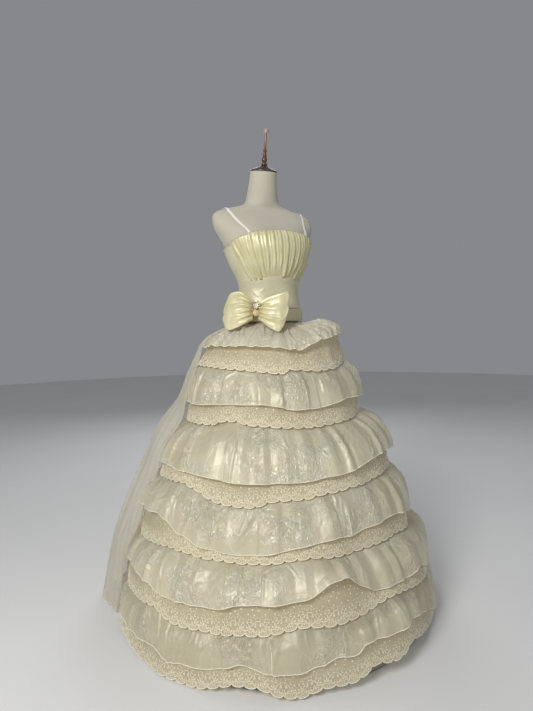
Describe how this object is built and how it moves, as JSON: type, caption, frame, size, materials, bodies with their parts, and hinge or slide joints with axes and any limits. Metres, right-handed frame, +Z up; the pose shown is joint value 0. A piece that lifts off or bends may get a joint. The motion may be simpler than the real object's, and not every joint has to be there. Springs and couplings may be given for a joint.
{
  "type": "quinceanera dress on dress form",
  "caption": "Floor-length ball gown with pleated bust, bow belt and tiered organza and lace skirt under a sheer back overlay, on a limbless dress form with pole and base.",
  "frame": {"origin": "centre of the underside of the base plate, on the floor", "axes": "+Z up along the stand; the front of the gown faces -Y; the wearer's right side is towards -X"},
  "size_m": [1.2832, 1.2703, 1.7921],
  "materials": {
    "organza": "crisp translucent cream organza with a soft sheen",
    "lace": "embroidered net lace, matt",
    "net": "plain sheer tulle, matt",
    "lining": "dull satin lining",
    "chiffon": "pale yellow pleated chiffon",
    "satin": "cream satin, soft shine",
    "bow_satin": "cream satin, soft shine",
    "ribbon": "white satin ribbon",
    "linen": "tight natural linen",
    "dark_wood": "dark stained, waxed",
    "red_wood": "red-brown, polished",
    "brass": "aged",
    "knob": "pale stained, polished",
    "stand": "satin black paint",
    "stones": "clear faceted stones and a pearl"
  },
  "bodies": {
    "root": {"form_torso": "linen", "neck_cap": "dark_wood", "finial_turned": "red_wood", "finial_rod": "brass", "finial_knob": "knob", "stand_pole": "stand", "stand_base": "stand", "bust_front": "chiffon", "bust_back_left": "satin", "bust_back_right": "satin", "midriff_front": "satin", "midriff_back_left": "satin", "midriff_back_right": "satin", "belt": "satin", "strap_right": "ribbon", "strap_left": "ribbon", "skirt_lining": "lining", "back_overlay": "net", "bow_loop_right": "bow_satin", "bow_loop_left": "bow_satin", "bow_knot": "bow_satin", "brooch": "stones", "tier1_lace": "lace", "tier1_organza": "organza", "tier2_lace": "lace", "tier2_organza": "organza", "tier3_lace": "lace", "tier3_organza": "organza", "tier4_lace": "lace", "tier4_organza": "organza", "tier5_lace": "lace", "tier5_organza": "organza", "tier6_lace": "lace", "tier6_organza": "organza"}
  },
  "joints": []
}
